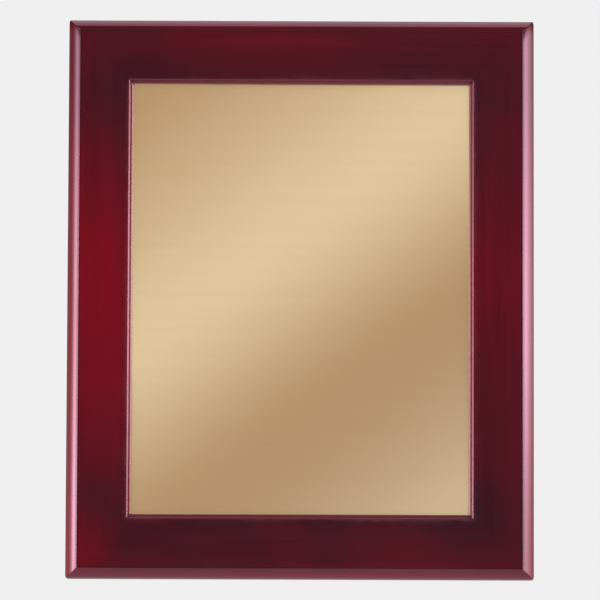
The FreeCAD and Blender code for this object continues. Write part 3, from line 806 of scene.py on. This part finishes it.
def phillips_cutters(x, z, top, reach, depth, turn):
    """Two tapered blades that cut a cross recess."""
    cutters = []
    for quarter in (0, 90):
        angle = math.radians(turn + quarter)
        across = Vector((math.cos(angle), math.sin(angle)))
        over = Vector((-math.sin(angle), math.cos(angle)))
        rings = []
        levels = [(top + 0.5 * MM, reach * 1.18, 0.42 * MM), (top, reach, 0.38 * MM),
                  (top - depth, reach * 0.34, 0.24 * MM)]
        for y, long, thick in levels:
            ring = []
            for a, b in ((1, 1), (-1, 1), (-1, -1), (1, -1)):
                spot = Vector((x, z)) + across * a * long + over * b * thick
                ring.append(Vector((spot.x, y, spot.y)))
            rings.append(ring)
        cutters.append(rings_to_object("blade", rings))
    return cutters


def threaded(core, crest, start, end, pitch):
    """The profile of a threaded shank as ridges, from its end to its start."""
    profile = []
    y = end
    while y + pitch <= start:
        profile += [(core, y), (crest, y + pitch * 0.42)]
        profile += [(crest, y + pitch * 0.52), (core, y + pitch * 0.94)]
        y += pitch
    return profile


def pivot_screws():
    """Pan-head screws through the turn buttons."""
    pieces = []
    base = BUTTON_TOP
    # The head's outline, from its rim up: radius, and height over the button. Millimetres.
    head = [(3.18, 0.0), (3.3, 0.12), (3.3, 0.45), (3.22, 0.78), (3.0, 1.08), (2.6, 1.32), (2.0, 1.48),
            (1.1, 1.57)]
    for joint in frame["joints"]:
        x, _, z = joint["pos_m"]
        profile = [(0.0, -PIVOT_LENGTH), (0.5 * MM, -11.2 * MM), (1.2 * MM, -9.4 * MM)]
        profile += threaded(core=1.2 * MM, crest=1.72 * MM, start=-0.6 * MM, end=-9.2 * MM, pitch=1.1 * MM)
        profile += [(1.7 * MM, -0.2 * MM), (1.7 * MM, base)]
        profile += [(r * MM, base + h * MM) for r, h in head]
        crown = base + 1.6 * MM
        profile.append((0.0, crown))
        screw = turned("pan_screw", profile, x, z)
        turn = random.uniform(0, 90)
        subtract(screw, phillips_cutters(x, z, crown, reach=1.75 * MM, depth=1.05 * MM, turn=turn))
        pieces.append(screw)
    obj = joined("pan_head_screws", pieces)
    smooth(obj, 35)
    finished(obj, NICKEL, "turn_button_screws")


def hanger_screws():
    """Countersunk screws that hold the keyhole hangers."""
    pieces = []
    for node in ("keyhole_hanger_left", "keyhole_hanger_right"):
        low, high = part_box(node)
        for side in (-1, 1):
            x, z = (low.x + high.x) / 2 + side * HANGER_SCREW_OFFSET, (low.z + high.z) / 2
            profile = [(0.0, -HANGER_SCREW_LENGTH), (0.4 * MM, -10.3 * MM), (0.95 * MM, -8.6 * MM)]
            profile += threaded(core=0.95 * MM, crest=1.38 * MM, start=-1.6 * MM, end=-8.4 * MM,
                                pitch=0.95 * MM)
            profile += [(1.35 * MM, -1.3 * MM), (1.38 * MM, -1.12 * MM), (2.42 * MM, -0.10 * MM),
                        (2.42 * MM, -0.04 * MM), (2.3 * MM, 0.0), (0.0, 0.0)]
            screw = turned("csk_screw", profile, x, z)
            turn = random.uniform(0, 90)
            subtract(screw, phillips_cutters(x, z, 0.0, reach=1.35 * MM, depth=0.95 * MM, turn=turn))
            pieces.append(screw)
    obj = joined("countersunk_screws", pieces)
    smooth(obj, 35)
    finished(obj, ZINC, "hanger_screws")


def bumpers():
    """Moulded rubber feet with a shallow dish in the middle."""
    for node in ("bumper_top_left", "bumper_bottom_left", "bumper_top_right", "bumper_bottom_right"):
        low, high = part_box(node)
        x, z, tall = (low.x + high.x) / 2, (low.z + high.z) / 2, high.y
        profile = [(0.0, 0.0), (4.8 * MM, 0.0), (5.0 * MM, 0.25 * MM), (4.95 * MM, 1.2 * MM)]
        profile += [(4.85 * MM, tall - 0.85 * MM), (4.7 * MM, tall - 0.45 * MM),
                    (4.4 * MM, tall - 0.15 * MM), (3.95 * MM, tall), (3.0 * MM, tall),
                    (2.4 * MM, tall - 0.12 * MM), (1.2 * MM, tall - 0.25 * MM), (0.0, tall - 0.28 * MM)]
        obj = turned("rubber_" + node, profile, x, z)
        smooth(obj, 50)
        finished(obj, RUBBER, node)


pivot_screws()
hanger_screws()
bumpers()

for side in ("left", "right"):
    hanger = softened(f"stamped_hanger_{side}", f"keyhole_hanger_{side}", 0.16 * MM)
    finished(hanger, ZINC, f"keyhole_hanger_{side}")

for joint in frame["joints"]:
    name = joint["child"]
    button = softened(f"stamped_{name}", name, 0.28 * MM)
    finished(button, NICKEL, name, body=name)


# ---------------------------------------------------------------- camera

VIEW_DISTANCE = 1.3
VIEW_BELOW = math.radians(2.46)     # the camera looks slightly up at the plaque
VIEW_ROLL = math.radians(0.22)
VIEW_AIM = Vector((-0.0003, 0, -0.0009))    # where the camera looks, from the middle of the face
FRAME_WIDTH = 0.3249                # what the picture's width covers at the plaque's face
SENSOR = 36.0

camera = link(bpy.data.objects.new("camera", bpy.data.cameras.new("camera")))
back = Vector((0, -math.cos(VIEW_BELOW), -math.sin(VIEW_BELOW)))
camera.location = CENTRE + VIEW_AIM + back * VIEW_DISTANCE
camera.rotation_mode = "QUATERNION"
roll = Matrix.Rotation(VIEW_ROLL, 3, "Z").to_quaternion()
camera.rotation_quaternion = (-back).to_track_quat("-Z", "Y") @ roll
camera.data.sensor_width = SENSOR
camera.data.lens = SENSOR * VIEW_DISTANCE / FRAME_WIDTH
camera.data.clip_start = 0.05
camera.data.clip_end = 20
bpy.context.scene.camera = camera
bpy.context.scene.view_settings.view_transform = "Standard"


# ---------------------------------------------------------------- world, floor and lights

BACKDROP = 0.863        # what the camera sees behind the plaque
MIRRORED = 0.10         # what polished surfaces see beyond the lights
AMBIENT = 0.90          # what lights everything evenly
FLOOR_RADIUS = 2.2
FLOOR_DROP = 0.24       # from the plaque's bottom edge down to the floor
WALL_RADIUS = 1.5       # the side and top walls' distance from the plaque's middle
WALL_LOW = -0.46        # the side walls' bottom and top edges, from the plaque's middle
WALL_HIGH = 0.372
TOP_WALL_REACH = 0.8    # the top wall's half width


def studio_world():
    """A pale backdrop for the camera, and a dimmer room for reflections and fill."""
    world = bpy.data.worlds.new("studio")
    bpy.context.scene.world = world
    world.use_nodes = True
    tree = world.node_tree
    tree.nodes.clear()
    path = tree.nodes.new("ShaderNodeLightPath")
    kinds = tree.nodes.new("ShaderNodeMix")
    kinds.inputs["A"].default_value = MIRRORED
    kinds.inputs["B"].default_value = AMBIENT
    tree.links.new(path.outputs["Is Diffuse Ray"], kinds.inputs["Factor"])
    seen = tree.nodes.new("ShaderNodeMix")
    seen.inputs["B"].default_value = BACKDROP
    tree.links.new(path.outputs["Is Camera Ray"], seen.inputs["Factor"])
    tree.links.new(kinds.outputs[0], seen.inputs["A"])
    shader = tree.nodes.new("ShaderNodeBackground")
    shader.inputs["Color"].default_value = rgb(1, 1, 1)
    tree.links.new(seen.outputs[0], shader.inputs["Strength"])
    output = tree.nodes.new("ShaderNodeOutputWorld")
    tree.links.new(shader.outputs[0], output.inputs["Surface"])


def floor():
    """A pale round floor below the plaque, fading out at its rim."""
    rings, steps = 12, 96
    level = cad_low.z - FLOOR_DROP
    points = [Vector((0, 0, level))]
    faces = []
    for ring in range(1, rings + 1):
        out = FLOOR_RADIUS * ring / rings
        for step in range(steps):
            angle = 2 * math.pi * step / steps
            points.append(Vector((out * math.cos(angle), out * math.sin(angle), level)))
    for step in range(steps):
        after = (step + 1) % steps
        faces.append((0, 1 + step, 1 + after))
        for ring in range(rings - 1):
            low, high = 1 + ring * steps, 1 + (ring + 1) * steps
            faces.append((low + step, high + step, high + after, low + after))
    mesh = bpy.data.meshes.new("pale_floor")
    mesh.from_pydata(points, [], faces)
    obj = link(bpy.data.objects.new("pale_floor", mesh))
    finish = Finish("pale_floor")
    axes = finish.add("ShaderNodeSeparateXYZ", {0: finish.place})
    flat = finish.add("ShaderNodeCombineXYZ", {0: axes.outputs[0], 1: axes.outputs[1]}).outputs[0]
    away = finish.add("ShaderNodeVectorMath", {0: flat}, operation="LENGTH").outputs["Value"]
    grit = finish.noise(40, 4, 0.6)
    colour = finish.blend(grit, rgb(0.86, 0.86, 0.86), rgb(0.90, 0.90, 0.90))
    # A dead matt paper: with any shine it would mirror the walls of light.
    shader = finish.add("ShaderNodeBsdfPrincipled", {
        "Base Color": colour, "Roughness": 1.0, "Specular IOR Level": 0.0,
        "Normal": finish.bump(grit, 0.05, 0.001),
    })
    clear = finish.add("ShaderNodeBsdfTransparent")
    fade = finish.span(away, FLOOR_RADIUS * 0.45, FLOOR_RADIUS * 0.98)
    mixed = finish.add("ShaderNodeMixShader", {0: fade, 1: shader.outputs[0], 2: clear.outputs[0]})
    finish.add("ShaderNodeOutputMaterial", {"Surface": mixed.outputs[0]})
    mesh.materials.append(finish.material)


def card(name, middle, target, width, height, finish):
    """A flat card that faces a point and is seen only in reflections."""
    facing = (target - middle).normalized()
    turn = facing.to_track_quat("Z", "Y")
    mesh = bpy.data.meshes.new(name)
    half_w, half_h = width / 2, height / 2
    corners = [(-half_w, -half_h, 0), (half_w, -half_h, 0), (half_w, half_h, 0), (-half_w, half_h, 0)]
    mesh.from_pydata(corners, [], [(0, 1, 2, 3)])
    layer = mesh.uv_layers.new(name="UVMap")
    for corner, place in zip(layer.data, ((0, 0), (1, 0), (1, 1), (0, 1))):
        corner.uv = place
    obj = link(bpy.data.objects.new(name, mesh))
    obj.location = middle
    obj.rotation_mode = "QUATERNION"
    obj.rotation_quaternion = turn
    mesh.materials.append(finish)
    reflected_only(obj)


def reflected_only(obj):
    """Only polished surfaces see this: it isn't in the picture, and it lights nothing."""
    obj.visible_camera = False
    obj.visible_diffuse = False
    obj.visible_shadow = False
    obj.visible_transmission = False


def lit_side(finish, strength, colour):
    """End a card's material: it glows on its front only."""
    back = finish.add("ShaderNodeNewGeometry").outputs["Backfacing"]
    strength = finish.math("MULTIPLY", strength, finish.math("SUBTRACT", 1.0, back))
    glow = finish.add("ShaderNodeEmission", {"Color": colour, "Strength": strength})
    finish.add("ShaderNodeOutputMaterial", {"Surface": glow.outputs[0]})
    return finish.material


def softbox(name, azimuth, elevation, distance, width, height, radiance, feather=0.3):
    """A softbox round the plaque, its edges feathered."""
    finish = Finish(name)
    spot = finish.add("ShaderNodeSeparateXYZ", {0: finish.add("ShaderNodeTexCoord").outputs["UV"]})
    strength = radiance
    for axis in ("X", "Y"):
        share = spot.outputs[axis]
        inside = finish.math("MINIMUM", share, finish.math("SUBTRACT", 1.0, share))
        strength = finish.math("MULTIPLY", strength, finish.span(inside, 0.0, feather))
    around, up = math.radians(azimuth), math.radians(elevation)
    level = Vector((math.sin(around), -math.cos(around), 0)) * math.cos(up)
    middle = CENTRE + distance * (level + Vector((0, 0, math.sin(up))))
    card(name, middle, CENTRE, width, height, lit_side(finish, strength, rgb(1, 1, 1)))


def light_curve(finish, share, stops):
    """How bright a wall is along one direction: (share of the way, brightness) stops."""
    peak = max(bright for at, bright in stops)
    ramp = finish.add("ShaderNodeValToRGB", {"Fac": share})
    ramp.color_ramp.interpolation = "EASE"
    while len(ramp.color_ramp.elements) < len(stops):
        ramp.color_ramp.elements.new(0.5)
    for element, (at, bright) in zip(ramp.color_ramp.elements, stops):
        element.position = at
        element.color = rgb(bright / peak, bright / peak, bright / peak)
    return finish.math("MULTIPLY", ramp.outputs[0], peak)


def light_wall(name, bend, start, end, radius, low, high, along, across):
    """A bent wall of light round the plaque's centre, from one angle to another.

    bend is "side" for a wall that goes round an upright line, or "over" for one that goes over the top.
    Angles are in degrees away from straight in front. low and high are the wall's two straight edges,
    from the plaque's centre.
    along gives its brightness from start to end, and across from low to high.
    """
    steps = 28
    points, uvs, faces = [], [], []
    for step in range(steps + 1):
        share = step / steps
        angle = math.radians(start + (end - start) * share)
        out, front = radius * math.sin(angle), -radius * math.cos(angle)
        for edge, place in ((low, 0.0), (high, 1.0)):
            spot = (out, front, edge) if bend == "side" else (edge, front, out)
            points.append(CENTRE + Vector(spot))
            uvs.append((share, place))
    for step in range(steps):
        faces.append((2 * step, 2 * step + 1, 2 * step + 3, 2 * step + 2))
    mesh = bpy.data.meshes.new(name)
    mesh.from_pydata(points, [], faces)
    if (mesh.polygons[0].center - CENTRE).dot(mesh.polygons[0].normal) > 0:
        mesh.flip_normals()
    layer = mesh.uv_layers.new(name="UVMap")
    for loop, corner in zip(mesh.loops, layer.data):
        corner.uv = uvs[loop.vertex_index]
    obj = link(bpy.data.objects.new(name, mesh))
    finish = Finish(name)
    spot = finish.add("ShaderNodeSeparateXYZ", {0: finish.add("ShaderNodeTexCoord").outputs["UV"]})
    strength = finish.math("MULTIPLY", light_curve(finish, spot.outputs["X"], along),
                           light_curve(finish, spot.outputs["Y"], across))
    mesh.materials.append(lit_side(finish, strength, rgb(1, 1, 1)))
    reflected_only(obj)


def plate_card():
    """The graded card that the brass plate mirrors: slanting bands, light and dark by turns."""
    reach = 1.05                        # card's distance over the camera's
    grow = 1 + reach
    slant = math.radians(36)
    finish = Finish("plate_card")
    spot = finish.add("ShaderNodeSeparateXYZ", {0: finish.place})
    # The card faces the plaque, so its own X runs to the plaque's left.
    rise = finish.math("ADD", finish.math("MULTIPLY", spot.outputs["X"], math.sin(slant) / grow),
                       finish.math("MULTIPLY", spot.outputs["Y"], math.cos(slant) / grow))
    # The stops run across the bands, from 140 mm below the plate's middle to 140 mm above it.
    ramp = finish.add("ShaderNodeValToRGB", {"Fac": finish.span(rise, -0.14, 0.14, kind="LINEAR")})
    ramp.color_ramp.interpolation = "B_SPLINE"
    stops = [(0.00, (0.80, 0.78, 0.80)), (0.12, (0.64, 0.58, 0.55)), (0.28, (0.54, 0.43, 0.34)),
             (0.40, (0.62, 0.53, 0.45)), (0.52, (0.86, 0.83, 0.78)), (0.62, (0.95, 0.96, 0.96)),
             (0.76, (0.84, 0.80, 0.75)), (1.00, (0.56, 0.44, 0.34))]
    while len(ramp.color_ramp.elements) < len(stops):
        ramp.color_ramp.elements.new(0.5)
    for element, (at, colour) in zip(ramp.color_ramp.elements, stops):
        element.position = at
        element.color = rgb(*colour)
    middle = CENTRE + Vector((0, -VIEW_DISTANCE * reach, math.sin(VIEW_BELOW) * VIEW_DISTANCE * reach))
    margin = 1.8 * MM                   # past the edge of what the opening shows
    width = (HALF_WIDTH - OPENING_INSET + margin) * 2 * grow
    height = (HALF_HEIGHT - OPENING_INSET + margin) * 2 * grow
    target = Vector((0, 0, middle.z))
    card("plate_card", middle, target, width, height, lit_side(finish, 1.0, ramp.outputs[0]))


def low_card():
    """A far, low card that the plate mirrors when it is seen from slightly above."""
    finish = Finish("low_card")
    spot = finish.add("ShaderNodeSeparateXYZ", {0: finish.add("ShaderNodeTexCoord").outputs["UV"]})
    strength = light_curve(finish, spot.outputs["Y"], [(0.0, 0.85), (0.4, 0.78), (1.0, 0.60)])
    middle = CENTRE + Vector((0, -6.0, -0.86))
    card("low_card", middle, target=middle + Vector((0, 1, 0)), width=0.89, height=0.57,
         finish=lit_side(finish, strength, rgb(1.0, 0.92, 0.85)))


studio_world()
floor()
plate_card()
low_card()
light_wall(
    "left_wall", "side", start=-11, end=-130, radius=WALL_RADIUS, low=WALL_LOW, high=WALL_HIGH,
    along=[(0.0, 0.0), (0.10, 1.5), (0.16, 5.2), (0.22, 8.3), (0.33, 8.0), (0.41, 4.2), (0.49, 2.2),
           (0.58, 1.0), (0.70, 0.5), (1.0, 0.45)],
    across=[(0.0, 0.0), (0.24, 1.2), (0.32, 1.35), (0.64, 1.0), (0.979, 0.55), (1.0, 0.0)])
light_wall(
    "right_wall", "side", start=11, end=130, radius=WALL_RADIUS, low=WALL_LOW, high=WALL_HIGH,
    along=[(0.0, 0.0), (0.10, 3.0), (0.18, 7.5), (0.25, 10.3), (0.34, 9.8), (0.42, 8.0), (0.58, 5.2),
           (0.67, 3.6), (0.79, 2.2), (0.90, 1.3), (1.0, 1.2)],
    across=[(0.0, 0.0), (0.24, 0.55), (0.61, 1.0), (0.979, 0.68), (1.0, 0.0)])
light_wall(
    "top_wall", "over", start=56, end=125, radius=WALL_RADIUS, low=-TOP_WALL_REACH, high=TOP_WALL_REACH,
    along=[(0.0, 0.0), (0.2, 1.5), (0.7, 1.7), (1.0, 1.0)],
    across=[(0.0, 0.2), (0.2, 1.0), (0.8, 1.0), (1.0, 0.2)])
softbox("back_box", azimuth=178, elevation=35, distance=2.0, width=1.6, height=1.2, radiance=2.6)
